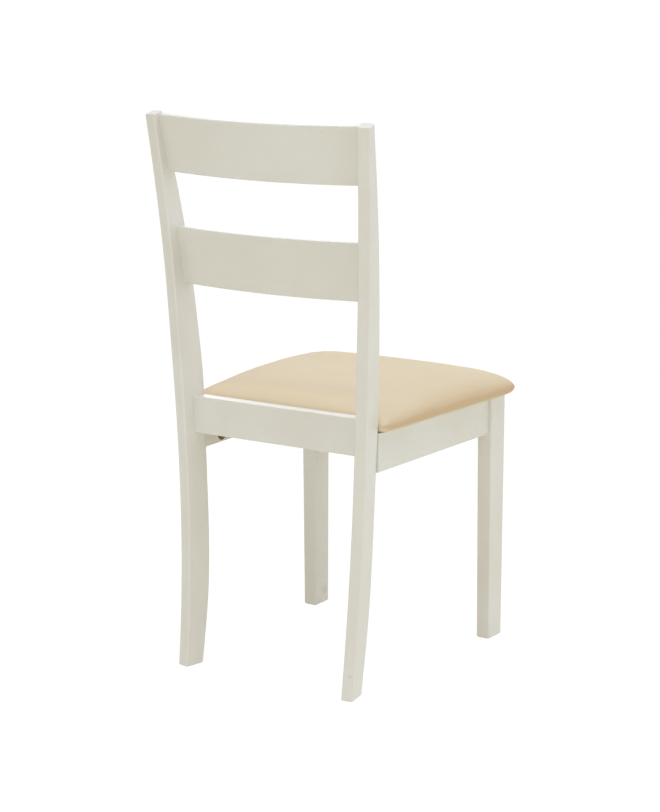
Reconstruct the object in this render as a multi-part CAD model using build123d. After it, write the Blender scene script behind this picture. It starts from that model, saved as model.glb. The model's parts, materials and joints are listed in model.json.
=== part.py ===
"""Wooden dining chair with a padded seat, built from separate named pieces.

Units are millimetres. +Z is up, the floor is z = 0, the front of the chair faces -Y and +X is the
sitter's left. Left-hand pieces are modelled and the right-hand ones are mirrored from them.
"""
import os
from math import cos, radians, sin, sqrt

from build123d import *

# Rear posts: sawn from flat stock, turned about the vertical and splayed outwards towards the top.
POST_THICK = 21.0
POST_FOOT_X = 135.9
POST_TURN = 11.0
POST_SPLAY = 2.19
POST_EDGE_R = 2.6
POST_FLAT_Y = 116.3
POST_FLAT_MARGIN = (21.0, 30.0)
POST_REAR = [(179.5, -14.0), (167.2, 110.0), (161.4, 220.0), (160.3, 330.0), (163.0, 440.0),
             (168.2, 550.0), (174.4, 660.0), (186.1, 780.0), (201.3, 897.0)]
POST_FRONT_LOW = [(143.5, -14.0), (123.7, 110.0), (116.9, 220.0)]
POST_FRONT_HIGH = [(122.9, 550.0), (134.9, 660.0), (155.2, 780.0), (182.9, 902.5)]

# Bowed back slats: rear-face points at the slat ends, bottom corner (x, y, z) and lean.
SLAT_RADIUS = 1080.0
SLAT_THICK = 11.5
SLAT_HEIGHT = 92.0
SLAT_EDGE_R = 2.2
CREST_END = (179.2, 168.6, 806.7)
CREST_LEAN = 11.2
LOWER_END = (167.0, 147.2, 627.8)
LOWER_LEAN = 7.1

# Front legs.
LEG_OUTER_X = 189.2
LEG_REAR_Y = -218.0
LEG_TOP = (26.8, 45.0)
LEG_FOOT = (24.6, 41.5)
LEG_TAPER_DROP = 11.0
LEG_EDGE_R = 2.6
FOOT_BEVEL = 2.0

# Seat rails.
RAIL_HEIGHT = 62.0
RAIL_BOTTOM_Z = 356.0
RAIL_EDGE_R = 1.6
SIDE_RAIL_THICK = 22.0
SIDE_RAIL_X = (174.5, 183.0)
REAR_RAIL_RISE = 28.0
REAR_RAIL_HEIGHT = 60.0
REAR_RAIL_Y = 138.2
REAR_RAIL_THICK = 22.0
FRONT_RAIL_Y = -256.0
FRONT_RAIL_THICK = 20.0

# Joints.
TENON_THICK = 6.5
TENON_HEIGHT = 62.0
TENON_LENGTH = 14.0
DOWEL_DIA = 8.0
DOWEL_LENGTH = 32.0
DOWEL_IN_POST = 13.5
DOWEL_CHAMFER = 0.8
REAR_DOWEL_RISE = (21.0, 46.0)
SIDE_DOWEL_REAR_RISE = (14.0, 34.0)
SIDE_DOWEL_FRONT_RISE = (16.0, 35.0)
JOINT_FIT = 0.1
END_FIT = 0.5

# Corner blocks and their screws.
BLOCK_REACH = 52.0
BLOCK_NOSE = 12.0
BLOCK_HEIGHT = 25.0
BLOCK_DROP = 4.0
SCREW_DIA = 4.0
SCREW_HEAD = (8.0, 2.6)
BLOCK_SCREW_LENGTH = 22.0
BLOCK_SCREW_AT = 20.0
BLOCK_SEAT = 8.0
BLOCK_SCREW_STAGGER = 5.0
HEAD_ROOM = (9.0, 40.0)
HEAD_ROUND = 0.9

# Seat screws and the pockets they start from.
POCKET_RADIUS = 15.0
POCKET_DEPTH = 12.0
POCKET_RISE = 18.0
POCKET_ROOF = 9.2
POCKET_Y = (68.0, -150.0)
SEAT_SCREW_INSET = 6.0
SEAT_SCREW_BITE = 6.8

# Padded seat.
SEAT_HALF_X = (188.3, 204.8)
SEAT_REAR_Y = 109.5
SEAT_FRONT_Y = -284.5
SEAT_CORNER_R = (13.0, 23.0)
COVER_THICK = 1.2
BOARD_THICK = 12.0
BOARD_MARGIN = 10.4
HEM_OPENING = (134.0, 82.0, -222.0)
STAPLE_INSET = 7.0
STAPLE_PITCH = 45.0
# Crown of the padded seat: height above the rails, how far the section is drawn in there and how far its
# sides bow out; each loft takes a few sections and the next one starts from its last section.
SEAT_SECTIONS = [(0.0, 9.0, 0.0), (3.0, 3.8, 0.0), (7.5, 0.4, 0.0), (12.6, 0.4, 0.0), (17.4, 3.4, 1.2),
                 (23.8, 9.6, 3.5), (31.0, 20.9, 7.5), (37.3, 36.1, 13.0), (41.8, 55.3, 20.0),
                 (45.1, 77.9, 28.0), (47.1, 105.0, 29.0), (48.2, 134.3, 20.0), (48.6, 160.0, 11.0)]
SEAT_END_BOW = 0.67
SEAT_CORNER_EASE = 0.14
SEAT_CORNER_MOST = 0.26
SEAT_LOFT_STEP = 3
STAPLE_CROWN = (10.0, 1.2, 0.7)
STAPLE_LEG = 6.0
STAPLE_FIT = 0.05

# Heights that follow from the sizes above.
RAIL_TOP_Z = RAIL_BOTTOM_Z + RAIL_HEIGHT
REAR_RAIL_BOTTOM_Z = RAIL_BOTTOM_Z + REAR_RAIL_RISE
POST_FLAT_Z = (RAIL_BOTTOM_Z - POST_FLAT_MARGIN[0], RAIL_TOP_Z + POST_FLAT_MARGIN[1])
LEG_TAPER_Z = RAIL_BOTTOM_Z - LEG_TAPER_DROP
REAR_DOWEL_Z = [REAR_RAIL_BOTTOM_Z + rise for rise in REAR_DOWEL_RISE]
SIDE_DOWEL_REAR_Z = [RAIL_BOTTOM_Z + rise for rise in SIDE_DOWEL_REAR_RISE]
SIDE_DOWEL_FRONT_Z = [RAIL_BOTTOM_Z + rise for rise in SIDE_DOWEL_FRONT_RISE]
BLOCK_BOTTOM_Z = RAIL_TOP_Z - BLOCK_DROP - BLOCK_HEIGHT
POCKET_CENTRE_Z = RAIL_BOTTOM_Z + POCKET_RISE
POCKET_ROOF_Z = POCKET_CENTRE_Z + POCKET_ROOF
BOARD_Z = RAIL_TOP_Z + COVER_THICK
SEAT_SCREW_LENGTH = BOARD_Z + SEAT_SCREW_BITE - POCKET_ROOF_Z
FAR = 600.0


def mirrored(shape):
    """Right-hand twin of a left-hand piece."""
    return mirror(shape, about=Plane.YZ)


def bevelled_foot(leg):
    """Leg with the edges of its floor face bevelled."""
    return chamfer(leg.edges().filter_by(lambda e: abs(e.center().Z) < 0.01), FOOT_BEVEL)


def post_frame():
    """Frame of the left post: local x is outwards from its outer face, local y is its depth."""
    return Pos(POST_FOOT_X, 0, 0) * Rot(0, 0, -POST_TURN) * Rot(0, POST_SPLAY, 0)


def beyond_inner_face(inset=0.0):
    """Everything outwards of the left post's inner face, moved into the post by inset."""
    slab = Box(FAR, FAR, 2 * FAR, align=(Align.MIN, Align.CENTER, Align.MIN))
    return post_frame() * Pos(inset - POST_THICK, 150, 0) * slab


def behind_front_face():
    """Everything behind the flat of the left post's front face."""
    slab = Box(FAR, FAR, FAR, align=(Align.CENTER, Align.MIN, Align.MIN))
    return post_frame() * Pos(0, POST_FLAT_Y, 0) * slab


def rear_post_blank():
    """Left rear post before its mortises and dowel holes."""
    low_z, high_z = POST_FLAT_Z
    rear = Spline(*POST_REAR)
    flat = Line((POST_FLAT_Y, low_z), (POST_FLAT_Y, high_z))
    front_low = Spline(*POST_FRONT_LOW, flat @ 0, tangents=[(-0.155, 1), (0, 1)])
    front_high = Spline(flat @ 1, *POST_FRONT_HIGH, tangents=[(0, 1), (0.235, 1)])
    foot = Line(rear @ 0, front_low @ 0)
    top = Line(rear @ 1, front_high @ 1)
    outline = make_face([rear, top, front_high, flat, front_low, foot])
    bar = extrude(Plane.YZ * outline, amount=-POST_THICK)
    bar = fillet(bar.edges().filter_by(lambda e: e.length > 2 * POST_THICK), POST_EDGE_R)
    top_z = POST_REAR[-1][1] - POST_EDGE_R
    top_edges = bar.edges().filter_by(lambda e: e.center().Z > top_z and e.length > POST_EDGE_R)
    bar = fillet(top_edges, POST_EDGE_R * 0.6)
    floor = Pos(0, 0, -FAR) * Box(2 * FAR, 2 * FAR, 2 * FAR)
    return bevelled_foot(post_frame() * bar - floor)


def slat_frame(end, lean):
    """Frame at the middle of a slat's bottom rear edge, leaning with the posts."""
    x, y, z = end
    bow = SLAT_RADIUS - sqrt(SLAT_RADIUS**2 - x**2)
    tilt = radians(lean)
    return Pos(0, y + bow * cos(tilt), z - bow * sin(tilt)) * Rot(-lean, 0, 0)


def bowed_band(inset, thick, height, base):
    """Band bowed towards the rear, longer than any slat, inset from the rear face."""
    outer, inner = SLAT_RADIUS - inset, SLAT_RADIUS - inset - thick
    half = FAR / 2
    far_y, near_y = (sqrt(r**2 - half**2) - SLAT_RADIUS for r in (outer, inner))
    outline = make_face([
        ThreePointArc((-half, far_y), (0, outer - SLAT_RADIUS), (half, far_y)),
        Line((half, far_y), (half, near_y)),
        ThreePointArc((half, near_y), (0, inner - SLAT_RADIUS), (-half, near_y)),
        Line((-half, near_y), (-half, far_y))])
    return Pos(0, 0, base) * extrude(outline, amount=height)


def between_posts(shape, inset=0.0):
    """Shape trimmed at the inner faces of both posts, or inset beyond them."""
    cut = beyond_inner_face(inset)
    return shape - cut - mirrored(cut)


def slat_and_mortise(end, lean):
    """Slat with its two tenons, and the mortise core that is cut from the posts."""
    frame = slat_frame(end, lean)
    panel = bowed_band(0, SLAT_THICK, SLAT_HEIGHT, 0)
    panel = fillet(panel.edges().filter_by(GeomType.CIRCLE), SLAT_EDGE_R)
    tenon_inset = (SLAT_THICK - TENON_THICK) / 2
    tenon_base = (SLAT_HEIGHT - TENON_HEIGHT) / 2
    tenon = bowed_band(tenon_inset, TENON_THICK, TENON_HEIGHT, tenon_base)
    core = bowed_band(tenon_inset - JOINT_FIT, TENON_THICK + 2 * JOINT_FIT, TENON_HEIGHT + 2 * JOINT_FIT,
                      tenon_base - JOINT_FIT)
    slat = between_posts(frame * panel) + between_posts(frame * tenon, TENON_LENGTH)
    return slat, between_posts(frame * core, TENON_LENGTH + END_FIT)


def front_leg_blank():
    """Left front leg: straight beside the rails, tapered below them on all but its front face."""
    mid_x, front_y = LEG_OUTER_X - LEG_TOP[0] / 2, LEG_REAR_Y - LEG_TOP[1]

    def section(size, z):
        return Pos(mid_x, front_y + size[1] / 2, z) * RectangleRounded(*size, LEG_EDGE_R)

    lower = loft([section(LEG_FOOT, 0), section(LEG_TOP, LEG_TAPER_Z)], ruled=True)
    upper = extrude(section(LEG_TOP, LEG_TAPER_Z), amount=RAIL_TOP_Z - LEG_TAPER_Z)
    return bevelled_foot(lower + upper)


def side_outer_x(y):
    """X of the left side rail's outer face at the given y."""
    rear_x, front_x = SIDE_RAIL_X
    return rear_x + (front_x - rear_x) * (POST_FLAT_Y - y) / (POST_FLAT_Y - LEG_REAR_Y)


def side_inner_x(y):
    """X of the left side rail's inner face at the given y."""
    return side_outer_x(y) - SIDE_RAIL_THICK


def soft_bar(bar, axis):
    """Bar with its four long edges eased."""
    return fillet(bar.edges().filter_by(lambda e: abs(e.tangent_at(0.5).dot(axis)) > 0.9), RAIL_EDGE_R)


def side_rail_blank():
    """Left side rail trimmed to the front leg and to the flat of the rear post."""
    rear_y = POST_FLAT_Y + SIDE_RAIL_THICK
    plan = make_face(Polyline(
        (side_outer_x(LEG_REAR_Y), LEG_REAR_Y), (side_outer_x(rear_y), rear_y),
        (side_inner_x(rear_y), rear_y), (side_inner_x(LEG_REAR_Y), LEG_REAR_Y), close=True))
    bar = extrude(Pos(0, 0, RAIL_BOTTOM_Z) * plan, amount=RAIL_HEIGHT)
    return soft_bar(bar, Vector(0, 1, 0)) - behind_front_face()


def rear_rail_blank():
    """Rear rail trimmed to the inner faces of the posts."""
    bar = Pos(0, REAR_RAIL_Y - REAR_RAIL_THICK / 2, REAR_RAIL_BOTTOM_Z + REAR_RAIL_HEIGHT / 2) * Box(
        FAR, REAR_RAIL_THICK, REAR_RAIL_HEIGHT)
    return between_posts(soft_bar(bar, Vector(1, 0, 0)))


def front_rail_blank():
    """Front rail between the inner faces of the front legs."""
    length = 2 * (LEG_OUTER_X - LEG_TOP[0])
    bar = Pos(0, FRONT_RAIL_Y + FRONT_RAIL_THICK / 2, RAIL_BOTTOM_Z + RAIL_HEIGHT / 2) * Box(
        length, FRONT_RAIL_THICK, RAIL_HEIGHT)
    return soft_bar(bar, Vector(1, 0, 0))


def pin(at, direction, dia, length):
    """Cylinder that starts at a point and runs along a direction."""
    return extrude(Plane(origin=at, z_dir=direction) * Circle(dia / 2), amount=length)


def dowels_and_holes(at, direction, into):
    """Dowel across a joint face at a point, reaching into the second piece, and its hole."""
    axis = Vector(*direction)
    start = Vector(*at) + axis * (into - DOWEL_LENGTH)
    dowel = pin(start, axis, DOWEL_DIA, DOWEL_LENGTH)
    dowel = chamfer(dowel.edges().filter_by(GeomType.CIRCLE), DOWEL_CHAMFER)
    hole = pin(start - axis * END_FIT, axis, DOWEL_DIA + 2 * JOINT_FIT, DOWEL_LENGTH + 2 * END_FIT)
    return dowel, hole


def left_joints():
    """Dowels and holes of the left half, by joint."""
    rear_y = REAR_RAIL_Y - REAR_RAIL_THICK / 2
    turn, rise = radians(POST_TURN), sum(REAR_DOWEL_Z) / 2 * sin(radians(POST_SPLAY))
    post_x = POST_FOOT_X + (rear_y * sin(turn) + rise - POST_THICK) / cos(turn)
    mid_x = side_outer_x(POST_FLAT_Y) - SIDE_RAIL_THICK / 2
    leg_x = side_outer_x(LEG_REAR_Y) - SIDE_RAIL_THICK / 2
    leg_inner_x = LEG_OUTER_X - LEG_TOP[0]
    front_y = FRONT_RAIL_Y + FRONT_RAIL_THICK / 2
    places = {
        "rear": [((post_x, rear_y, z), (1, 0, 0), DOWEL_IN_POST) for z in REAR_DOWEL_Z],
        "side_rear": [((mid_x, POST_FLAT_Y, z), (0, 1, 0), DOWEL_LENGTH / 2) for z in SIDE_DOWEL_REAR_Z],
        "side_front": [((leg_x, LEG_REAR_Y, z), (0, -1, 0), DOWEL_LENGTH / 2) for z in SIDE_DOWEL_FRONT_Z],
        "front": [((leg_inner_x, front_y, z), (1, 0, 0), DOWEL_IN_POST) for z in SIDE_DOWEL_FRONT_Z]}
    return {name: [dowels_and_holes(*place) for place in row] for name, row in places.items()}


def corner_block(corner_y, toward):
    """Left corner block against the side rail and a cross rail, toward is -1 at the rear, +1 in front."""
    near, away = corner_y + toward * BLOCK_NOSE, corner_y + toward * BLOCK_REACH
    inner = side_inner_x(corner_y)
    outline = make_face(Polyline(
        (side_inner_x(near), near), (side_inner_x(away), away),
        (inner - BLOCK_REACH, corner_y), (inner - BLOCK_NOSE, corner_y), close=True))
    return extrude(Pos(0, 0, BLOCK_BOTTOM_Z) * outline, amount=BLOCK_HEIGHT)


def wood_screw(seat, direction, length):
    """Pan-head screw whose head seats at a point, with its shank hole and head room."""
    axis = Vector(*direction)
    dia, (head_dia, head_high) = SCREW_DIA, SCREW_HEAD
    seat = Vector(*seat)
    head = pin(seat - axis * head_high, axis, head_dia, head_high)
    head = fillet(head.edges().filter_by(GeomType.CIRCLE).sort_by(lambda e: e.center().dot(axis))[0],
                  HEAD_ROUND)
    screw = head + pin(seat, axis, dia, length)
    hole = pin(seat, axis, dia + 2 * JOINT_FIT, length + END_FIT)
    room_dia, room_deep = HEAD_ROOM
    return screw, hole, pin(seat - axis * room_deep, axis, room_dia, room_deep)


def block_screws(corner_y, toward):
    """Two screws of a left corner block: one into the side rail, one into the cross rail."""
    z = BLOCK_BOTTOM_Z + BLOCK_HEIGHT / 2
    side_y = corner_y + toward * (BLOCK_NOSE + BLOCK_SCREW_AT)
    cross_x = side_inner_x(corner_y) - BLOCK_NOSE - BLOCK_SCREW_AT
    to_side = ((side_inner_x(side_y) - BLOCK_SEAT, side_y, z + BLOCK_SCREW_STAGGER), (1, 0, 0),
               BLOCK_SCREW_LENGTH)
    to_cross = ((cross_x, corner_y + toward * BLOCK_SEAT, z - BLOCK_SCREW_STAGGER), (0, -toward, 0),
                BLOCK_SCREW_LENGTH)
    return [wood_screw(*to_side), wood_screw(*to_cross)]


def screw_pocket(y):
    """Round-bottomed pocket in the left side rail's inner face, with a flat roof for the screw head."""
    x = side_inner_x(y)
    disc = Plane(origin=(x - 1, y, POCKET_CENTRE_Z), z_dir=(1, 0, 0)) * Circle(POCKET_RADIUS)
    bore = extrude(disc, amount=POCKET_DEPTH + 1)
    roof = Pos(x, y, POCKET_ROOF_Z + FAR / 2) * Box(FAR, FAR, FAR)
    return bore - roof


def bowed_edge(start, end, bow):
    """Edge of a seat section from start to end, bowed to its right."""
    if not bow:
        return Line(start, end)
    (x0, y0), (x1, y1) = start, end
    length = sqrt((x1 - x0)**2 + (y1 - y0)**2)
    middle = ((x0 + x1) / 2 + bow * (y1 - y0) / length, (y0 + y1) / 2 - bow * (x1 - x0) / length)
    return ThreePointArc(start, middle, end)


def seat_section(height, drawn_in, bow):
    """Rounded plan section of the padded seat, wider in front than at the rear."""
    rear_x, front_x = (half - drawn_in for half in SEAT_HALF_X)
    rear_y, front_y = SEAT_REAR_Y - drawn_in, SEAT_FRONT_Y + drawn_in
    corners = [(-front_x, front_y), (front_x, front_y), (rear_x, rear_y), (-rear_x, rear_y)]
    bows = [bow * SEAT_END_BOW, bow, bow * SEAT_END_BOW, bow]
    plan = make_face([bowed_edge(corners[i], corners[(i + 1) % 4], bows[i]) for i in range(4)])
    widest = SEAT_CORNER_MOST * (rear_y - front_y)
    for side, radius in zip((-1, 0), SEAT_CORNER_R):
        radius = min(radius + SEAT_CORNER_EASE * drawn_in, widest)
        plan = fillet(plan.vertices().group_by(Axis.Y)[side], radius)
    return Pos(0, 0, RAIL_TOP_Z + height) * plan


def padded_form(inset):
    """Crowned and drawn-in form of the seat, moved inwards by inset."""
    top = SEAT_SECTIONS[-1][0]
    sections = []
    for height, drawn_in, bow in SEAT_SECTIONS:
        inside = height + inset * (1 - 2 * height / top)
        sections.append(seat_section(inside, drawn_in + inset * 0.9, bow))
    form = loft(sections[:SEAT_LOFT_STEP + 1])
    for start in range(SEAT_LOFT_STEP, len(sections) - 1, SEAT_LOFT_STEP):
        form = form + loft(sections[start:start + SEAT_LOFT_STEP + 1])
    return form


def spread(low, high):
    """Places a staple pitch apart, centred between two ends."""
    steps = int((high - low) / STAPLE_PITCH)
    first = (low + high - steps * STAPLE_PITCH) / 2
    return [first + step * STAPLE_PITCH for step in range(steps + 1)]


def staple_places():
    """Centres and headings of the staples along the hem."""
    half_x, rear_edge, front_edge = HEM_OPENING
    x, rear_y, front_y = half_x + STAPLE_INSET, rear_edge + STAPLE_INSET, front_edge - STAPLE_INSET
    rows = [(sx * x, y, 90) for sx in (-1, 1) for y in spread(front_edge, rear_edge)]
    return rows + [(px, y, 0) for y in (rear_y, front_y) for px in spread(-half_x, half_x)]


def staple(fit=0.0):
    """Staple lying under the hem at z = 0 with its legs upwards, grown by fit for its slots."""
    wide, thick, high = STAPLE_CROWN
    crown = Box(wide, thick, high, align=(Align.CENTER, Align.CENTER, Align.MAX))
    legs = [Pos(sx * (wide - thick) / 2, 0, 0) * Box(
        thick + 2 * fit, thick + 2 * fit, STAPLE_LEG + fit,
        align=(Align.CENTER, Align.CENTER, Align.MIN)) for sx in (-1, 1)]
    return legs if fit else [crown + legs[0] + legs[1]]


def build_frame():
    """Posts, legs, slats, rails, corner blocks and their fastenings."""
    crest, crest_core = slat_and_mortise(CREST_END, CREST_LEAN)
    lower, lower_core = slat_and_mortise(LOWER_END, LOWER_LEAN)
    joints = left_joints()
    holes = {name: [hole for _, hole in row] for name, row in joints.items()}

    post = rear_post_blank() - crest_core - lower_core - holes["rear"] - holes["side_rear"]
    leg = front_leg_blank() - holes["side_front"] - holes["front"]
    side = side_rail_blank() - holes["side_rear"] - holes["side_front"]
    rear = rear_rail_blank() - holes["rear"] - [mirrored(h) for h in holes["rear"]]
    front = front_rail_blank() - holes["front"] - [mirrored(h) for h in holes["front"]]

    rear_face = REAR_RAIL_Y - REAR_RAIL_THICK
    front_face = FRONT_RAIL_Y + FRONT_RAIL_THICK
    blocks, screws = {}, []
    for name, corner_y, toward in (("rear", rear_face, -1), ("front", front_face, 1)):
        block = corner_block(corner_y, toward)
        for screw, hole, head_room in block_screws(corner_y, toward):
            block = block - hole - head_room
            side = side - hole
            if toward < 0:
                rear = rear - hole - mirrored(hole)
            else:
                front = front - hole - mirrored(hole)
            screws += [screw, mirrored(screw)]
        blocks[name] = block
    for y in POCKET_Y:
        side = side - screw_pocket(y)

    def pair(row):
        return [dowel for dowel, _ in row] + [mirrored(dowel) for dowel, _ in row]

    side_dowels = [dowel for dowel, _ in joints["side_rear"] + joints["side_front"]]
    return {
        "rear_post_left": post, "rear_post_right": mirrored(post),
        "front_leg_left": leg, "front_leg_right": mirrored(leg),
        "crest_rail": crest, "lower_back_slat": lower,
        "rear_seat_rail": rear, "front_seat_rail": front,
        "side_seat_rail_left": side, "side_seat_rail_right": mirrored(side),
        "rear_rail_dowels": pair(joints["rear"]), "front_rail_dowels": pair(joints["front"]),
        "side_rail_dowels_left": side_dowels, "side_rail_dowels_right": [mirrored(d) for d in side_dowels],
        "corner_block_rear_left": blocks["rear"], "corner_block_rear_right": mirrored(blocks["rear"]),
        "corner_block_front_left": blocks["front"], "corner_block_front_right": mirrored(blocks["front"]),
        "corner_block_screws": screws}


def build_seat(frame):
    """Seat board, foam, cover, staples and seat screws; screw holes are cut from the side rails."""
    half_x, rear_edge, front_edge = HEM_OPENING
    outer, inner = padded_form(0.0), padded_form(COVER_THICK)
    plan = seat_section(COVER_THICK, BOARD_MARGIN, 0.0)
    board = extrude(plan, amount=BOARD_THICK)
    opening = Pos(0, (rear_edge + front_edge) / 2, BOARD_Z) * Box(
        2 * half_x, rear_edge - front_edge, 4 * COVER_THICK)
    foam = inner - board
    cover = outer - inner - opening

    screws = []
    for y in POCKET_Y:
        x = side_inner_x(y) + SEAT_SCREW_INSET
        screw, hole, _ = wood_screw((x, y, POCKET_ROOF_Z), (0, 0, 1), SEAT_SCREW_LENGTH)
        frame["side_seat_rail_left"] = frame["side_seat_rail_left"] - hole
        frame["side_seat_rail_right"] = frame["side_seat_rail_right"] - mirrored(hole)
        board = board - hole - mirrored(hole)
        cover = cover - hole - mirrored(hole)
        screws += [screw, mirrored(screw)]

    staples = []
    for x, y, heading in staple_places():
        place = Pos(x, y, RAIL_TOP_Z) * Rot(0, 0, heading)
        staples += [place * one for one in staple()]
        for slot in staple(STAPLE_FIT):
            board = board - place * slot
            cover = cover - place * slot
    return {"seat_board": board, "seat_foam": foam, "seat_cover": cover,
            "seat_screws": screws, "cover_staples": staples}


def main():
    """Build every piece, centre the chair over the origin and write one file per piece."""
    nodes = build_frame()
    nodes.update(build_seat(nodes))
    solids = {name: piece if isinstance(piece, list) else [piece] for name, piece in nodes.items()}
    spans = [one.bounding_box() for group in solids.values() for one in group]
    mid_y = (min(b.min.Y for b in spans) + max(b.max.Y for b in spans)) / 2
    os.makedirs("parts", exist_ok=True)
    for name, group in solids.items():
        placed = [Pos(0, -mid_y, 0) * one for one in group]
        export_step(placed[0] if len(placed) == 1 else Compound(children=placed), f"parts/{name}.step")


main()
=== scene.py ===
"""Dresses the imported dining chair: painted wood, bare wood inside and a padded seat over a board."""
import json
import logging
from dataclasses import dataclass
from enum import Enum
from typing import Any, Callable

import bpy
import numpy as np
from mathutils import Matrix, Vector

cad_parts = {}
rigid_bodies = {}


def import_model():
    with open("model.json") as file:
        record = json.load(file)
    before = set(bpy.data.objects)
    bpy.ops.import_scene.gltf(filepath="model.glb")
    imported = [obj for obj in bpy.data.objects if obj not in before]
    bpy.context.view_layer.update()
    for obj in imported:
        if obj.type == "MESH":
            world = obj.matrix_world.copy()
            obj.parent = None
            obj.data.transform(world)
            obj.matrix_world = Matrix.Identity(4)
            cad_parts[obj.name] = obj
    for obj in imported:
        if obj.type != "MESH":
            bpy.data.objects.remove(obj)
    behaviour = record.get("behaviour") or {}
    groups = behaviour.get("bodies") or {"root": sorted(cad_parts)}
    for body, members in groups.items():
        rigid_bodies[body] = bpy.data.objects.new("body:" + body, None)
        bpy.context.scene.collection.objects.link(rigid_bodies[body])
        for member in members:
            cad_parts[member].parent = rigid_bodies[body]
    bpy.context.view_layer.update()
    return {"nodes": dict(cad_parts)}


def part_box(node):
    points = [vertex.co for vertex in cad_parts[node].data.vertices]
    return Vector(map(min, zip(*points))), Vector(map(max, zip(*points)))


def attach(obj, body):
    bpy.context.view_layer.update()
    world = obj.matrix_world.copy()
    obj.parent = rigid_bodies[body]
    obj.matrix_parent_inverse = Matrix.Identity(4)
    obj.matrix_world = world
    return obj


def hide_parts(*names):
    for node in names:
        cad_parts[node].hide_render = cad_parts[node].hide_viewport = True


LOG = logging.getLogger("dining_chair")

Colour = tuple[float, float, float]
Point = tuple[float, float, float]


class Grain(Enum):
    """Direction in which a wooden piece was sawn."""

    ACROSS = "x"
    DEEP = "y"
    UPRIGHT = "z"


def linear(red: int, green: int, blue: int) -> Colour:
    """Scene-linear colour of a display colour.

    Args:
        red: Red from 0 to 255.
        green: Green from 0 to 255.
        blue: Blue from 0 to 255.

    Returns:
        The three linear components.
    """
    def one(byte: int) -> float:
        """Linear value of one byte, by the sRGB curve."""
        share = byte / 255
        return share / 12.92 if share <= 0.04045 else ((share + 0.055) / 1.055) ** 2.4
    return one(red), one(green), one(blue)


class Signal:
    """Output socket of a shader node that takes part in Python expressions."""

    def __init__(self, book: "ShaderBook", socket: bpy.types.NodeSocket) -> None:
        """Keeps the node tree and the socket."""
        self.book = book
        self.socket = socket

    def __add__(self, other: "Signal | float") -> "Signal":
        """Sum of two values."""
        return self.book.math("ADD", self, other)

    __radd__ = __add__

    def __sub__(self, other: "Signal | float") -> "Signal":
        """Difference of two values."""
        return self.book.math("SUBTRACT", self, other)

    def __rsub__(self, other: float) -> "Signal":
        """Difference from a number."""
        return self.book.math("SUBTRACT", other, self)

    def __mul__(self, other: "Signal | float") -> "Signal":
        """Product of two values."""
        return self.book.math("MULTIPLY", self, other)

    def __pow__(self, other: float) -> "Signal":
        """Power of a value."""
        return self.book.math("POWER", self, other)

    def __lt__(self, other: "Signal | float") -> "Signal":
        """One where the value is smaller."""
        return self.book.math("LESS_THAN", self, other)

    def __gt__(self, other: "Signal | float") -> "Signal":
        """One where the value is larger."""
        return self.book.math("GREATER_THAN", self, other)

    def __abs__(self) -> "Signal":
        """Size of the value without its sign."""
        return self.book.math("ABSOLUTE", self)

    def band(self, low: float, high: float) -> "Signal":
        """Smooth rise of the value between two limits.

        Args:
            low: Value that gives zero.
            high: Value that gives one.

        Returns:
            A value from zero to one.
        """
        node = self.book.node("ShaderNodeMapRange", {"interpolation_type": "SMOOTHSTEP"},
                              {"Value": self, "From Min": low, "From Max": high})
        return Signal(self.book, node.outputs["Result"])

    def mixed(self, other: "Signal", share: float) -> "Signal":
        """Weighted mean of two values.

        Args:
            other: Second value.
            share: Weight of the second value, from zero to one.

        Returns:
            The mean.
        """
        return self * (1 - share) + other * share


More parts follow.
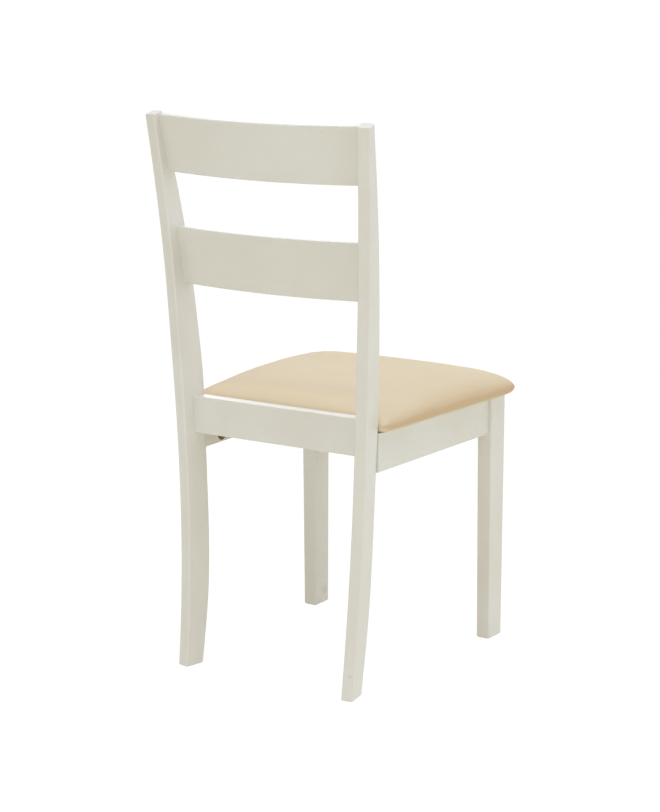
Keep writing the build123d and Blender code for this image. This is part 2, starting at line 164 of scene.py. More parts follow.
class ShaderBook:
    """Node tree of one material and the nodes that are added to it."""

    # Colour sockets of a Mix node, whose names repeat for every type of data.
    MIX_SHARE, MIX_FIRST, MIX_SECOND, MIX_RESULT = 0, 6, 7, 2

    def __init__(self, name: str) -> None:
        """Starts a material with only its output."""
        self.material = bpy.data.materials.new(name)
        self.material.use_nodes = True
        self.tree = self.material.node_tree
        self.tree.nodes.clear()
        self.output = self.tree.nodes.new("ShaderNodeOutputMaterial")

    def node(self, kind: str, settings: dict[str, Any], inputs: dict[str | int, Any]) -> bpy.types.Node:
        """Adds a node.

        Args:
            kind: Blender's type of the node.
            settings: Properties to set first.
            inputs: Values or signals by socket name or number.

        Returns:
            The new node.
        """
        made = self.tree.nodes.new(kind)
        for key, value in settings.items():
            setattr(made, key, value)
        for key, value in inputs.items():
            socket = made.inputs[key]
            if isinstance(value, Signal):
                self.tree.links.new(value.socket, socket)
            elif isinstance(value, tuple) and socket.type == "RGBA":
                socket.default_value = (*value, 1.0)
            else:
                socket.default_value = value
        return made

    def signal(self, kind: str, settings: dict[str, Any], inputs: dict[str | int, Any],
               out: str | int = 0) -> Signal:
        """Adds a node and wraps one of its outputs.

        Args:
            kind: Blender's type of the node.
            settings: Properties to set first.
            inputs: Values or signals by socket name or number.
            out: Output to wrap.

        Returns:
            The wrapped output.
        """
        return Signal(self, self.node(kind, settings, inputs).outputs[out])

    def math(self, operation: str, left: Signal | float, right: Signal | float | None = None) -> Signal:
        """Adds a Math node.

        Args:
            operation: Blender's name of the operation.
            left: First value.
            right: Second value, if the operation has one.

        Returns:
            The result.
        """
        inputs: dict[str | int, Any] = {0: left}
        if right is not None:
            inputs[1] = right
        return self.signal("ShaderNodeMath", {"operation": operation}, inputs)

    def coordinates(self) -> Signal:
        """Object coordinates."""
        return self.signal("ShaderNodeTexCoord", {}, {}, "Object")

    def place(self, scale: Point = (1, 1, 1)) -> Signal:
        """Object coordinates, stretched along the axes.

        Args:
            scale: Stretch along each axis.

        Returns:
            The coordinates.
        """
        return self.signal("ShaderNodeMapping", {}, {"Vector": self.coordinates(), "Scale": scale})

    def axes(self) -> tuple[Signal, Signal, Signal]:
        """Object coordinates as three values."""
        split = self.node("ShaderNodeSeparateXYZ", {}, {0: self.coordinates()})
        return tuple(Signal(self, socket) for socket in split.outputs)

    def noise(self, at: Signal, scale: float, detail: float = 3.0, rough: float = 0.5) -> Signal:
        """Noise value at a place.

        Args:
            at: Coordinates.
            scale: Waves per metre.
            detail: Number of finer layers.
            rough: Strength of the finer layers.

        Returns:
            A value around one half.
        """
        return self.signal("ShaderNodeTexNoise", {}, {"Vector": at, "Scale": scale, "Detail": detail,
                                                      "Roughness": rough}, "Fac")

    def blend(self, share: Signal, first: Signal | Colour, second: Signal | Colour) -> Signal:
        """Colour between two others.

        Args:
            share: Zero for the first and one for the second.
            first: First colour.
            second: Second colour.

        Returns:
            The mixed colour.
        """
        inputs = {self.MIX_SHARE: share, self.MIX_FIRST: first, self.MIX_SECOND: second}
        return self.signal("ShaderNodeMix", {"data_type": "RGBA"}, inputs, self.MIX_RESULT)

    def bump(self, height: Signal, depth: float, strength: float) -> Signal:
        """Normal of a relief.

        Args:
            height: Height of the relief from zero to one.
            depth: Depth of the relief in metres.
            strength: Share of the relief that shows.

        Returns:
            The normal.
        """
        return self.signal("ShaderNodeBump", {},
                           {"Height": height, "Distance": depth, "Strength": strength})

    def surface(self, inputs: dict[str | int, Any]) -> bpy.types.Material:
        """Ends the tree in one surface shader.

        Args:
            inputs: Values or signals of the shader's sockets.

        Returns:
            The finished material.
        """
        shader = self.node("ShaderNodeBsdfPrincipled", {}, inputs)
        self.tree.links.new(shader.outputs[0], self.output.inputs["Surface"])
        return self.material


NOISE_MEAN = 0.5
ALONG_GRAIN = 0.045
GRAIN_STRETCH: dict[Grain, Point] = {
    Grain.ACROSS: (ALONG_GRAIN, 1.0, 1.0),
    Grain.DEEP: (1.0, ALONG_GRAIN, 1.0),
    Grain.UPRIGHT: (1.0, 1.0, ALONG_GRAIN)}


@dataclass(frozen=True)
class BareWood:
    """Unpainted softwood with growth lines along its grain."""

    name: str
    grain: Grain
    light: Colour = linear(205, 172, 128)
    dark: Colour = linear(150, 110, 70)
    line_scale: float = 160.0
    broad_ratio: float = 0.22
    fibre_ratio: float = 7.0
    line_weight: float = 0.6
    broad_weight: float = 0.5
    figure_band: tuple[float, float] = (0.3, 0.8)
    fibre_relief: float = 0.4
    roughness: float = 0.62
    relief: float = 0.0003
    relief_share: float = 0.5

    def figure(self, book: ShaderBook) -> tuple[Signal, Signal]:
        """Colour and relief of the wood.

        Args:
            book: Node tree to add to.

        Returns:
            The colour and the height of the growth lines.
        """
        at = book.place(GRAIN_STRETCH[self.grain])
        lines = book.noise(at, self.line_scale, detail=4.0, rough=0.6)
        broad = book.noise(at, self.line_scale * self.broad_ratio, detail=2.0)
        fibre = book.noise(at, self.line_scale * self.fibre_ratio, detail=2.0)
        share = (lines * self.line_weight + broad * self.broad_weight).band(*self.figure_band)
        return book.blend(share, self.light, self.dark), share.mixed(fibre, self.fibre_relief)

    def build(self) -> bpy.types.Material:
        """Material of the wood."""
        book = ShaderBook(self.name)
        colour, height = self.figure(book)
        return book.surface({"Base Color": colour, "Roughness": self.roughness,
                             "Normal": book.bump(height, self.relief, self.relief_share)})


@dataclass(frozen=True)
class Pocket:
    """Round-bottomed screw pockets in the side rails, left as bare wood."""

    radius: float
    centre_z: float
    along: tuple[float, float]
    inner_x: tuple[float, float]
    ends_y: tuple[float, float]
    depth: float = 0.012
    skin: float = 0.0003

    def mask(self, book: ShaderBook) -> Signal:
        """One inside the pockets.

        Args:
            book: Node tree to add to.

        Returns:
            The mask.
        """
        x, y, z = book.axes()
        slope = (self.inner_x[1] - self.inner_x[0]) / (self.ends_y[1] - self.ends_y[0])
        face = (y - self.ends_y[0]) * slope + self.inner_x[0]
        inside = (abs(x) > face + self.skin) * (abs(x) < face + self.depth + self.skin)
        found: Signal | None = None
        for centre in self.along:
            reach = (y - centre) ** 2.0 + (z - self.centre_z) ** 2.0
            here = (reach < (self.radius + self.skin) ** 2) * inside
            found = here if found is None else found + here
        return found


@dataclass(frozen=True)
class Mark:
    """Knot or small dent that shows through the paint."""

    centre: Point
    radius: float
    share: float
    core: float = 0.35

    def mask(self, book: ShaderBook) -> Signal:
        """Strength of the mark, soft towards its rim.

        Args:
            book: Node tree to add to.

        Returns:
            The mask.
        """
        reach: Signal | None = None
        for value, middle in zip(book.axes(), self.centre):
            part = (value - middle) ** 2.0
            reach = part if reach is None else reach + part
        return (1 - (reach ** 0.5).band(self.radius * self.core, self.radius)) * self.share


@dataclass(frozen=True)
class SatinPaint:
    """Off-white satin paint over sawn wood whose grain still shows a little."""

    name: str
    grain: Grain
    pocket: Pocket | None = None
    marks: tuple[Mark, ...] = ()
    clean: Colour = linear(228, 226, 221)
    warm: Colour = linear(223, 219, 211)
    worn: Colour = linear(186, 176, 156)
    # Bare wood of the screw pockets. Both colours are painted paler and greyer than the other bare
    # wood, as painted light that lifts the shade inside the pockets.
    pocket_pale_painted_light: Colour = linear(216, 203, 178)
    pocket_dark_painted_light: Colour = linear(184, 169, 142)
    stroke_scale: float = 620.0
    pore_scale: float = 190.0
    cloud_scale: float = 7.0
    pore_tint: float = 0.2
    tint_band: tuple[float, float] = (0.3, 0.72)
    stroke_relief: float = 0.35
    roughness: float = 0.22
    pore_roughness: float = 0.12
    pocket_roughness: float = 0.25
    mark_depth: float = 0.8
    relief: float = 0.0002
    relief_share: float = 0.2

    def build(self) -> bpy.types.Material:
        """Material of the painted wood."""
        book = ShaderBook(self.name)
        at = book.place(GRAIN_STRETCH[self.grain])
        strokes = book.noise(at, self.stroke_scale, detail=2.0)
        pores = book.noise(at, self.pore_scale, detail=4.0, rough=0.6)
        cloud = book.noise(book.place(), self.cloud_scale)
        tint = cloud.mixed(pores, self.pore_tint).band(*self.tint_band)
        colour = book.blend(tint, self.clean, self.warm)
        height = pores.mixed(strokes, self.stroke_relief)
        rough = self.roughness + (pores - NOISE_MEAN) * self.pore_roughness
        for mark in self.marks:
            mask = mark.mask(book)
            colour = book.blend(mask, colour, self.worn)
            height = height - mask * self.mark_depth
        if self.pocket:
            # Bare wood in the pockets: the grain is the wood's own, its paleness is painted light
            # against the pockets' shade.
            wood = BareWood(self.name, self.grain, self.pocket_pale_painted_light, self.pocket_dark_painted_light)
            bare, figure = wood.figure(book)
            inside = self.pocket.mask(book)
            colour = book.blend(inside, colour, bare)
            height = height + inside * figure
            rough = rough + inside * self.pocket_roughness
        return book.surface({"Base Color": colour, "Roughness": rough,
                             "Normal": book.bump(height, self.relief, self.relief_share)})


@dataclass(frozen=True)
class PlyBoard:
    """Plywood with a rotary figure on its faces and plies at its edges."""

    name: str
    light: Colour = linear(214, 184, 140)
    dark: Colour = linear(176, 138, 94)
    ply: float = 0.0024
    figure_stretch: Point = (0.12, 1.0, 1.0)
    figure_scale: float = 60.0
    layer_tint: float = 0.2
    tint_band: tuple[float, float] = (0.3, 0.7)
    roughness: float = 0.66
    relief: float = 0.0003
    relief_share: float = 0.4

    def build(self) -> bpy.types.Material:
        """Material of the board."""
        book = ShaderBook(self.name)
        figure = book.noise(book.place(self.figure_stretch), self.figure_scale, detail=5.0, rough=0.6)
        _, _, z = book.axes()
        layer = book.math("PINGPONG", z, self.ply).band(0.0, self.ply)
        tint = figure.mixed(layer, self.layer_tint).band(*self.tint_band)
        return book.surface({"Base Color": book.blend(tint, self.light, self.dark),
                             "Roughness": self.roughness,
                             "Normal": book.bump(figure, self.relief, self.relief_share)})


@dataclass(frozen=True)
class ZincSteel:
    """Zinc plated steel of the screws and staples."""

    name: str
    bright: Colour = linear(196, 196, 190)
    dull: Colour = linear(150, 149, 142)
    spot_scale: float = 900.0
    spot_band: tuple[float, float] = (0.35, 0.7)
    roughness: float = 0.32
    spot_roughness: float = 0.2

    def build(self) -> bpy.types.Material:
        """Material of the plated steel."""
        book = ShaderBook(self.name)
        spots = book.noise(book.place(), self.spot_scale, detail=4.0).band(*self.spot_band)
        return book.surface({"Base Color": book.blend(spots, self.bright, self.dull), "Metallic": 1.0,
                             "Roughness": spots * self.spot_roughness + self.roughness})


@dataclass(frozen=True)
class SmoothCover:
    """Plain beige upholstery with a fine pebbled grain; its side rolls carry painted shade, its end
    rolls painted light.
    """

    name: str
    face: Colour = linear(226, 211, 185)
    shade: Colour = linear(223, 207, 179)
    # Painted shade for the side rolls and painted light for the end rolls, laid on through the two
    # attributes below.
    sides: Colour = linear(210, 184, 151)
    ends: Colour = linear(235, 217, 188)
    side_painted_shade: str = "side_painted_shade"
    end_painted_light: str = "end_painted_light"
    grain_scale: float = 1500.0
    pebble_ratio: float = 0.55
    pebble_smoothness: float = 0.6
    cloud_scale: float = 9.0
    grain_tint: float = 0.2
    tint_band: tuple[float, float] = (0.3, 0.75)
    grain_relief: float = 0.3
    roughness: float = 0.7
    grain_roughness: float = 0.14
    specular: float = 0.06
    sheen: float = 0.02
    sheen_roughness: float = 0.4
    relief: float = 0.00016
    relief_share: float = 0.5

    def build(self) -> bpy.types.Material:
        """Material of the cover."""
        book = ShaderBook(self.name)
        still = book.place()
        pebble = book.signal("ShaderNodeTexVoronoi", {"feature": "SMOOTH_F1"},
                             {"Vector": still, "Scale": self.grain_scale * self.pebble_ratio,
                              "Smoothness": self.pebble_smoothness}, "Distance")
        fine = book.noise(still, self.grain_scale, detail=2.0)
        cloud = book.noise(still, self.cloud_scale)
        tint = cloud.mixed(fine, self.grain_tint).band(*self.tint_band)
        colour = book.blend(tint, self.face, self.shade)
        # Blends in the painted shade of the side rolls and the painted light of the end rolls.
        for tone, painted_edge_colour in ((self.end_painted_light, self.ends), (self.side_painted_shade, self.sides)):
            share = book.signal("ShaderNodeAttribute", {"attribute_name": tone}, {}, "Fac")
            colour = book.blend(share, colour, painted_edge_colour)
        height = pebble.mixed(fine, self.grain_relief)
        rough = self.roughness + (fine - NOISE_MEAN) * self.grain_roughness
        return book.surface({"Base Color": colour, "Roughness": rough,
                             "Specular IOR Level": self.specular,
                             "Sheen Weight": self.sheen, "Sheen Roughness": self.sheen_roughness,
                             "Normal": book.bump(height, self.relief, self.relief_share)})


@dataclass
class WoodFrame:
    """Painted posts, legs, slats and rails, with bare blocks, dowels and fastenings inside."""

    nodes: dict[str, bpy.types.Object]

    POCKET = Pocket(radius=0.015, centre_z=0.374, along=(0.10985, -0.10815),
                    inner_x=(0.1525, 0.161), ends_y=(0.1582, -0.1751))
    CREST_MARKS = (Mark((-0.1242, 0.2323, 0.8858), 0.0035, 0.25),)
    FOOT_MARKS = (Mark((-0.1625, 0.2139, 0.0401), 0.0033, 0.42),
                  Mark((0.1635, -0.2075, 0.0226), 0.0125, 0.27))
    UPRIGHT = ("rear_post_left", "rear_post_right", "front_leg_left", "front_leg_right")
    ACROSS = ("crest_rail", "lower_back_slat", "rear_seat_rail", "front_seat_rail")
    DEEP = ("side_seat_rail_left", "side_seat_rail_right")
    BLOCKS = ("corner_block_rear_left", "corner_block_rear_right", "corner_block_front_left",
              "corner_block_front_right")
    DOWELS = ("rear_rail_dowels", "front_rail_dowels", "side_rail_dowels_left",
              "side_rail_dowels_right")
    METAL = ("corner_block_screws", "seat_screws", "cover_staples")
    BOARD = ("seat_board",)
    PALE_DOWEL = linear(214, 186, 146)

    def dress(self) -> None:
        """Gives every piece of the frame its finish."""
        groups = (
            (self.UPRIGHT, SatinPaint("satin_paint_upright", Grain.UPRIGHT, marks=self.FOOT_MARKS)),
            (self.ACROSS, SatinPaint("satin_paint_across", Grain.ACROSS, marks=self.CREST_MARKS)),
            (self.DEEP, SatinPaint("satin_paint_side_rails", Grain.DEEP, self.POCKET)),
            (self.BLOCKS, BareWood("bare_block_wood", Grain.ACROSS)),
            (self.DOWELS, BareWood("bare_dowel_wood", Grain.ACROSS, self.PALE_DOWEL)),
            (self.METAL, ZincSteel("zinc_steel")),
            (self.BOARD, PlyBoard("seat_plywood")))
        for names, finish in groups:
            material = finish.build()
            for name in names:
                piece = self.nodes[name]
                piece.data.materials.clear()
                piece.data.materials.append(material)
                LOG.info("finished %s with %s", name, material.name)


@dataclass
class PaddedSeat:
    """Foam seat with its cover pulled under the board, crowned and drawn in all round.

    Each section gives a height above the underside, how far the plan is drawn in there and how far
    its sides bow out in their middle, all in metres.
    """

    half_x: tuple[float, float] = (0.1883, 0.2048)
    rear_y: float = 0.1514
    front_y: float = -0.2426
    base_z: float = 0.418
    corner: tuple[float, float] = (0.013, 0.023)
    slack: float = 0.0006
    voxel: float = 0.005
    pressure: float = 4.0
    steps: int = 20
    swell: float = 0.001
    hem: tuple[float, float, float] = (0.134, 0.1239, -0.1801)
    hem_depth: float = 0.0017
    around: int = 336
    rings: int = 64
    edge_points: int = 121
    turn_points: int = 14
    knee: tuple[float, float] = (0.9, 0.05)
    end_bow: float = 0.55
    bow_power: int = 3
    corner_ease: float = 0.11
    corner_most: float = 0.26
    held_height: float = 0.0035
    flat_height: float = 0.0012
    under_height: float = 0.0006
    soft_factor: float = 0.5
    even_rounds: int = 6
    soft_rounds: int = 4
    sections: tuple[tuple[float, float, float], ...] = (
        (0.0, 0.009, 0.0), (0.003, 0.0038, 0.0), (0.0075, 0.0004, 0.0), (0.0126, 0.0004, 0.0),
        (0.0174, 0.0034, 0.0013), (0.0238, 0.0096, 0.004), (0.031, 0.0209, 0.009),
        (0.0375, 0.0361, 0.0165), (0.0422, 0.0553, 0.026), (0.0455, 0.0779, 0.034),
        (0.0473, 0.105, 0.033), (0.0483, 0.1343, 0.021), (0.0486, 0.16, 0.011))

    CLOTH = {"quality": 6, "mass": 0.35, "tension_stiffness": 25.0, "compression_stiffness": 25.0,
             "bending_stiffness": 3.0, "use_pressure": True}
    # Parts of the cover's normal between which its painted edge light and shade rise from zero to one.
    TURNED = (0.97, 0.3)
    SIDEWAYS = (0.2, 0.8)
    ENDWAYS = (0.08, 0.4)
    SIDE_LEAST = 0.1
    TINY = 1e-9
    MM_PER_M = 1000

    def profile(self) -> np.ndarray:
        """Smooth run of heights, draw-ins and bows through the sections.

        Returns:
            One row of height, draw-in and bow for each ring.
        """
        known = np.array(self.sections)
        steps = np.linalg.norm(np.diff(known[:, :2], axis=0), axis=1)
        at = np.concatenate(([0.0], np.cumsum(steps)))
        slope = np.gradient(known, at, axis=0)
        wanted = np.linspace(0.0, at[-1], self.rings)
        index = np.clip(np.searchsorted(at, wanted, side="right") - 1, 0, len(at) - 2)
        span = (at[index + 1] - at[index])[:, None]
        t = ((wanted - at[index])[:, None]) / span
        run = (2 * t**3 - 3 * t**2 + 1) * known[index] + (t**3 - 2 * t**2 + t) * span * slope[index]
        run = run + (3 * t**2 - 2 * t**3) * known[index + 1]
        return run + (t**3 - t**2) * span * slope[index + 1]

    def outline(self, drawn_in: float, bow: float) -> np.ndarray:
        """Rounded plan of the seat at one height.

        Args:
            drawn_in: Distance that the edges are drawn in.
            bow: Distance that the sides bow out in their middle.

        Returns:
            Points around the plan, evenly spaced.
        """
        rear_x, front_x = self.half_x[0] - drawn_in, self.half_x[1] - drawn_in
        rear_y, front_y = self.rear_y - drawn_in, self.front_y + drawn_in
        corners = np.array([(rear_x, rear_y), (front_x, front_y),
                            (-front_x, front_y), (-rear_x, rear_y)])
        bows = (bow, bow * self.end_bow, bow, bow * self.end_bow)
        widest = self.corner_most * (rear_y - front_y)
        rear, front = (min(radius + self.corner_ease * drawn_in, widest) for radius in self.corner)
        radii = (rear, front, front, rear)
        share = np.linspace(-1.0, 1.0, self.edge_points)[:, None]
        edges = []
        for number in range(4):
            start, end = corners[number], corners[(number + 1) % 4]
            along = (end - start) / np.linalg.norm(end - start)
            out = np.array((-along[1], along[0]))
            edge = (start + end) / 2 + (end - start) / 2 * share
            edge = edge + out * bows[number] * (1 - np.abs(share)**self.bow_power)
            clear = (np.linalg.norm(edge - start, axis=1) > radii[number]) & (
                np.linalg.norm(edge - end, axis=1) > radii[(number + 1) % 4])
            edges.append(edge[clear])
        points = []
        turn = np.linspace(0.0, 1.0, self.turn_points)[1:-1, None]
        for number in range(4):
            last, first = edges[number][-1], edges[(number + 1) % 4][0]
            knee = self.knee[0] * corners[(number + 1) % 4] + self.knee[1] * (last + first)
            curve = (1 - turn)**2 * last + 2 * turn * (1 - turn) * knee + turn**2 * first
            points += [edges[number], curve]
        line = np.concatenate([*points, edges[0][:1]])
        length = np.concatenate(([0.0], np.cumsum(np.linalg.norm(np.diff(line, axis=0), axis=1))))
        wanted = np.linspace(0.0, length[-1], self.around, endpoint=False)
        return np.stack([np.interp(wanted, length, line[:, axis]) for axis in (0, 1)], axis=1)

    def form(self) -> bpy.types.Object:
        """Closed crowned form, a little smaller than the finished seat.

        Returns:
            The form as a new object.
        """
        points, faces = [], []
        top = self.sections[-1][0]
        for height, drawn_in, bow in self.profile():
            ring = self.outline(drawn_in + self.slack, bow)
            z = self.base_z + height - self.slack * height / top
            points += [(x, y, z) for x, y in ring]
        count = self.around
        for ring in range(self.rings - 1):
            for step in range(count):
                a, b = ring * count + step, ring * count + (step + 1) % count
                faces.append((b, a, a + count, b + count))
        faces.append(tuple(range(count)))
        faces.append(tuple(reversed(range((self.rings - 1) * count, self.rings * count))))
        mesh = bpy.data.meshes.new("seat_cushion")
        mesh.from_pydata(points, [], faces)
        seat = bpy.data.objects.new("seat_cushion", mesh)
        bpy.context.scene.collection.objects.link(seat)
        bpy.ops.object.select_all(action="DESELECT")
        seat.select_set(True)
        bpy.context.view_layer.objects.active = seat
        bpy.ops.object.mode_set(mode="EDIT")
        bpy.ops.mesh.select_all(action="SELECT")
        bpy.ops.mesh.normals_make_consistent(inside=False)
        bpy.ops.object.mode_set(mode="OBJECT")
        return seat

    @staticmethod
    def vectors(seat: bpy.types.Object, kind: str) -> np.ndarray:
        """Places or normals of all the points of a mesh.

        Args:
            seat: Object with the mesh.
            kind: Either co or normal.

        Returns:
            One row for each point.
        """
        flat = np.empty(len(seat.data.vertices) * 3, np.float32)
        seat.data.vertices.foreach_get(kind, flat)
        return flat.reshape(-1, 3)

    def coordinates(self, seat: bpy.types.Object) -> np.ndarray:
        """Places of all the points of a mesh, in double precision."""
        return self.vectors(seat, "co").astype(float)

    @staticmethod
    def set_coordinates(seat: bpy.types.Object, places: np.ndarray) -> None:
        """Moves all the points of a mesh to new places."""
        seat.data.vertices.foreach_set("co", places.astype(np.float32).ravel())
        seat.data.update()

    def smooth(self, seat: bpy.types.Object, rounds: int) -> None:
        """Evens out the mesh.

        Args:
            seat: Active object.
            rounds: Number of times that each point moves towards its neighbours.
        """
        soften = seat.modifiers.new("soften", "SMOOTH")
        soften.factor, soften.iterations = self.soft_factor, rounds
        bpy.ops.object.modifier_apply(modifier=soften.name)

    def even(self, seat: bpy.types.Object) -> None:
        """Remeshes the form to even quads and smooths out the steps of the grid."""
        seat.data.remesh_voxel_size = self.voxel
        bpy.ops.object.voxel_remesh()
        self.smooth(seat, self.even_rounds)

    def inflate(self, seat: bpy.types.Object) -> None:
        """Lets the cover swell under the foam's pressure, held along its underside."""
        start = self.coordinates(seat)
        low = np.nonzero(start[:, 2] < self.base_z + self.held_height)[0]
        held = seat.vertex_groups.new(name="held")
        held.add([int(i) for i in low], 1.0, "REPLACE")
        cloth = seat.modifiers.new("cloth", "CLOTH")
        for key, value in self.CLOTH.items():
            setattr(cloth.settings, key, value)
        cloth.settings.uniform_pressure_force = self.pressure
        cloth.settings.effector_weights.gravity = 0.0
        cloth.settings.vertex_group_mass = held.name
        cloth.collision_settings.use_collision = False
        for frame_number in range(1, self.steps + 1):
            bpy.context.scene.frame_set(frame_number)
        bpy.ops.object.modifier_apply(modifier=cloth.name)
        bpy.context.scene.frame_set(1)
        moved = self.coordinates(seat) - start
        length = np.maximum(np.linalg.norm(moved, axis=1, keepdims=True), self.TINY)
        self.set_coordinates(seat, start + moved * np.minimum(1.0, self.swell / length))
        most = min(self.swell, float(length.max()))
        LOG.info("seat swelled by %.1f mm at most", self.MM_PER_M * most)

    def flatten_under(self, seat: bpy.types.Object) -> None:
        """Lays the underside flat on the rails."""
        places = self.coordinates(seat)
        under = places[:, 2] < self.base_z + self.flat_height
        places[under, 2] = self.base_z
        self.set_coordinates(seat, places)

    def refine(self, seat: bpy.types.Object) -> None:
        """Softens and subdivides the cover."""
        self.smooth(seat, self.soft_rounds)
        self.flatten_under(seat)
        fine = seat.modifiers.new("fine", "SUBSURF")
        fine.levels = fine.render_levels = 1
        bpy.ops.object.modifier_apply(modifier=fine.name)
        bpy.ops.object.shade_smooth()

    def settle(self, seat: bpy.types.Object) -> None:
        """Stretches the softened cover back to the seat's own length, width and height."""
        low, high = (np.array(corner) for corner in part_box("seat_cover"))
        places = self.coordinates(seat)
        small, large = places.min(axis=0), places.max(axis=0)
        LOG.info("seat before settling: %s to %s", small.round(4), large.round(4))
        self.set_coordinates(seat, low + (places - small) * (high - low) / (large - small))

    def open_hem(self, seat: bpy.types.Object) -> None:
        """Turns the cover up at its hem, so that the board shows below."""
        half_x, rear, front = self.hem
        under = self.base_z + self.under_height
        bpy.ops.object.mode_set(mode="EDIT")
        for at, normal in (((half_x, 0, 0), (1, 0, 0)), ((-half_x, 0, 0), (1, 0, 0)),
                           ((0, rear, 0), (0, 1, 0)), ((0, front, 0), (0, 1, 0))):
            self.select_faces(seat, lambda middle: middle.z < under)
            bpy.ops.mesh.bisect(plane_co=at, plane_no=normal)
        self.select_faces(seat, lambda middle: middle.z < under and abs(middle.x) < half_x
                          and front < middle.y < rear)
        bpy.ops.mesh.extrude_region_move(TRANSFORM_OT_translate={"value": (0, 0, self.hem_depth)})
        bpy.ops.object.mode_set(mode="OBJECT")

    @staticmethod
    def rise(values: np.ndarray, limits: tuple[float, float]) -> np.ndarray:
        """Straight rise of values between two limits.

        Args:
            values: Values to compare with the limits.
            limits: Value that gives zero and value that gives one.

        Returns:
            Values from zero to one.
        """
        return np.clip((values - limits[0]) / (limits[1] - limits[0]), 0.0, 1.0)

    def paint_edge_light_and_shade(self, seat: bpy.types.Object, cover: SmoothCover) -> None:
        """Stores how far the cover turns down, for painted light at its ends and painted shade, more
        strongly, at its sides.

        Args:
            seat: Cushion with its final shape.
            cover: Finish that reads the two attributes.
        """
        normal = np.abs(self.vectors(seat, "normal"))
        turned = self.rise(normal[:, 2], self.TURNED)
        sideways = self.rise(normal[:, 0], self.SIDEWAYS)
        endways = self.rise(normal[:, 1], self.ENDWAYS)
        # Shares of painted shade along the side rolls and of painted light along the end rolls, from
        # the normal's direction.
        side = turned * (self.SIDE_LEAST + (1 - self.SIDE_LEAST) * sideways)
        end = endways * (1 - sideways)
        for name, tones in ((cover.side_painted_shade, side), (cover.end_painted_light, end)):
            tone = seat.data.attributes.new(name, "FLOAT", "POINT")
            tone.data.foreach_set("value", tones.astype(np.float32))

    @staticmethod
    def select_faces(seat: bpy.types.Object, wanted: Callable[[Vector], bool]) -> None:
        """Selects the faces whose middle passes a test.

        Args:
            seat: Object in edit mode.
            wanted: Test of a face's middle.
        """
        bpy.ops.object.mode_set(mode="OBJECT")
        for parts in (seat.data.edges, seat.data.vertices):
            parts.foreach_set("select", [False] * len(parts))
        for face in seat.data.polygons:
            face.select = bool(wanted(face.center))
        bpy.ops.object.mode_set(mode="EDIT")
        bpy.ops.mesh.select_mode(type="FACE")

    def build(self) -> bpy.types.Object:
        """Models, inflates and dresses the seat.

        Returns:
            The finished cushion.
        """
        seat = self.form()
        self.even(seat)
        self.inflate(seat)
        self.refine(seat)
        self.settle(seat)
        self.open_hem(seat)
        cover = SmoothCover("beige_cover")
        # Paints shade onto the cover's side rolls and light onto its end rolls.
        self.paint_edge_light_and_shade(seat, cover)
        seat.data.materials.append(cover.build())
        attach(seat, "root")
        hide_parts("seat_cover", "seat_foam")
        LOG.info("built %s with %d faces", seat.name, len(seat.data.polygons))
        return seat


@dataclass(frozen=True)
class Lamp:
    """Square soft lamp that faces one point.

    Attributes:
        name: Name of the lamp.
        at: Place of the lamp.
        aim: Point that it faces.
        size: Length of its side in metres.
        power: Power in watts.
        colour: Colour of its light.
    """

    name: str
    at: Point
    aim: Point
    size: float
    power: float
    colour: Colour

    def add(self) -> None:
        """Adds the lamp to the scene."""
        bpy.ops.object.light_add(type="AREA", location=self.at)
        lamp = bpy.context.object
        lamp.name = self.name
        lamp.rotation_euler = (Vector(self.aim) - Vector(self.at)).to_track_quat("-Z", "Y").to_euler()
        lamp.data.size = self.size
        lamp.data.energy = self.power
        lamp.data.color = self.colour


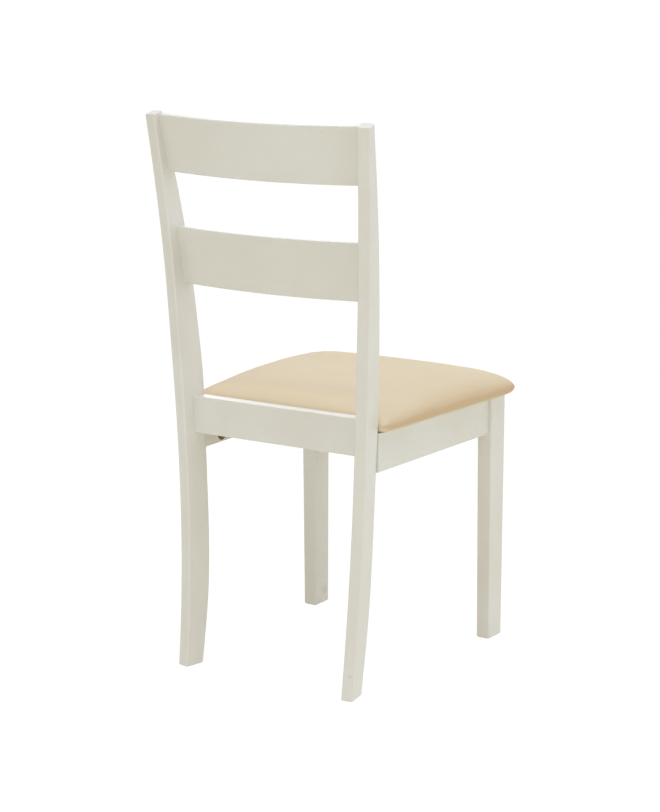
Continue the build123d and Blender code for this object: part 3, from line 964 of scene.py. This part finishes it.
@dataclass
class Studio:
    """White floor, soft light and the camera behind the chair."""

    target: Point = (-0.0107, 0.0419, 0.4225)
    away: Point = (-0.5371, 0.8167, 0.2110)
    distance: float = 3.8079
    lens: float = 104.4
    sensor: float = 36.0
    shift: float = 0.0009
    far_clip: float = 60.0
    world_strength: float = 0.503
    world_colour: Colour = (0.975, 0.985, 0.995)
    floor_size: float = 60.0
    floor_z: float = -0.0004
    floor_colour: Colour = (0.98, 0.945, 0.765)
    floor_glow: float = 1.06
    floor_share: float = 0.92

    LAMPS = (
        Lamp("overhead", (-0.2, 0.05, 3.4), (0.0, 0.0, 0.4), 2.8, 47.0, (0.965, 0.985, 1.0)),
        Lamp("side_fill", (-6.4, -0.2, 2.0), (0.0, 0.0, 0.45), 4.0, 82.0, (0.9, 0.96, 1.0)),
        Lamp("front_fill", (2.6, -5.0, 2.2), (0.0, 0.0, 0.45), 3.0, 27.0, (0.97, 0.985, 1.0)),
        Lamp("rear_fill", (-0.5, 4.2, 0.55), (0.0, 0.0, 0.25), 1.2, 26.5, (0.985, 0.99, 0.98)))

    def camera(self) -> None:
        """Puts the camera at the photograph's viewing angle."""
        bpy.ops.object.camera_add(location=Vector(self.target) + Vector(self.away) * self.distance)
        camera = bpy.context.object
        camera.name = "camera"
        camera.rotation_euler = (-Vector(self.away)).to_track_quat("-Z", "Y").to_euler()
        camera.data.lens = self.lens
        camera.data.sensor_width = self.sensor
        camera.data.shift_x = self.shift
        camera.data.clip_end = self.far_clip
        bpy.context.scene.camera = camera

    @staticmethod
    def white_for_camera(tree: bpy.types.NodeTree) -> bpy.types.NodeSocket:
        """Mask of the rays that should meet plain white.

        Args:
            tree: Node tree to add to.

        Returns:
            One for camera, glossy and transmitted rays.
        """
        rays = tree.nodes.new("ShaderNodeLightPath")
        found = rays.outputs["Is Camera Ray"]
        for name in ("Is Glossy Ray", "Is Transmission Ray"):
            most = tree.nodes.new("ShaderNodeMath")
            most.operation = "MAXIMUM"
            tree.links.new(found, most.inputs[0])
            tree.links.new(rays.outputs[name], most.inputs[1])
            found = most.outputs[0]
        return found

    @staticmethod
    def mix(tree: bpy.types.NodeTree, share: bpy.types.NodeSocket, lit: bpy.types.Node,
            white: bpy.types.Node, output: str) -> None:
        """Ends a tree in a mix of its lit shader and the white one.

        Args:
            tree: Node tree to add to.
            share: Share of the white shader.
            lit: Shader that takes part in the lighting.
            white: Shader that the masked rays meet.
            output: Blender's type of the output node.
        """
        mixed = tree.nodes.new("ShaderNodeMixShader")
        end = tree.nodes.new(output)
        tree.links.new(share, mixed.inputs[0])
        tree.links.new(lit.outputs[0], mixed.inputs[1])
        tree.links.new(white.outputs[0], mixed.inputs[2])
        tree.links.new(mixed.outputs[0], end.inputs["Surface"])

    def world(self) -> None:
        """Makes an even pale surround that the camera sees as white."""
        world = bpy.data.worlds.new("surround")
        bpy.context.scene.world = world
        world.use_nodes = True
        tree = world.node_tree
        tree.nodes.clear()
        even, white = (tree.nodes.new("ShaderNodeBackground") for _ in range(2))
        even.inputs["Color"].default_value = (*self.world_colour, 1.0)
        even.inputs["Strength"].default_value = self.world_strength
        white.inputs["Color"].default_value = (1.0, 1.0, 1.0, 1.0)
        self.mix(tree, self.white_for_camera(tree), even, white, "ShaderNodeOutputWorld")

    def floor(self) -> None:
        """Lays a plain pale floor that keeps a faint shadow."""
        bpy.ops.mesh.primitive_plane_add(size=self.floor_size, location=(0, 0, self.floor_z))
        floor = bpy.context.object
        floor.name = "floor"
        material = bpy.data.materials.new("pale_floor")
        material.use_nodes = True
        tree = material.node_tree
        tree.nodes.clear()
        matte = tree.nodes.new("ShaderNodeBsdfDiffuse")
        matte.inputs["Color"].default_value = (*self.floor_colour, 1.0)
        white = tree.nodes.new("ShaderNodeEmission")
        white.inputs["Strength"].default_value = self.floor_glow
        share = tree.nodes.new("ShaderNodeMath")
        share.operation = "MULTIPLY"
        share.inputs[1].default_value = self.floor_share
        tree.links.new(self.white_for_camera(tree), share.inputs[0])
        self.mix(tree, share.outputs[0], matte, white, "ShaderNodeOutputMaterial")
        floor.data.materials.append(material)

    def build(self) -> None:
        """Sets up the whole studio."""
        bpy.context.scene.view_settings.view_transform = "Standard"
        self.camera()
        for lamp in self.LAMPS:
            lamp.add()
        self.world()
        self.floor()


def main() -> None:
    """Builds the chair piece by piece."""
    logging.basicConfig(level=logging.INFO)
    for old in list(bpy.data.objects):
        bpy.data.objects.remove(old)
    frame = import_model()
    Studio().build()
    WoodFrame(frame["nodes"]).dress()
    PaddedSeat().build()


if __name__ == "__main__":
    main()
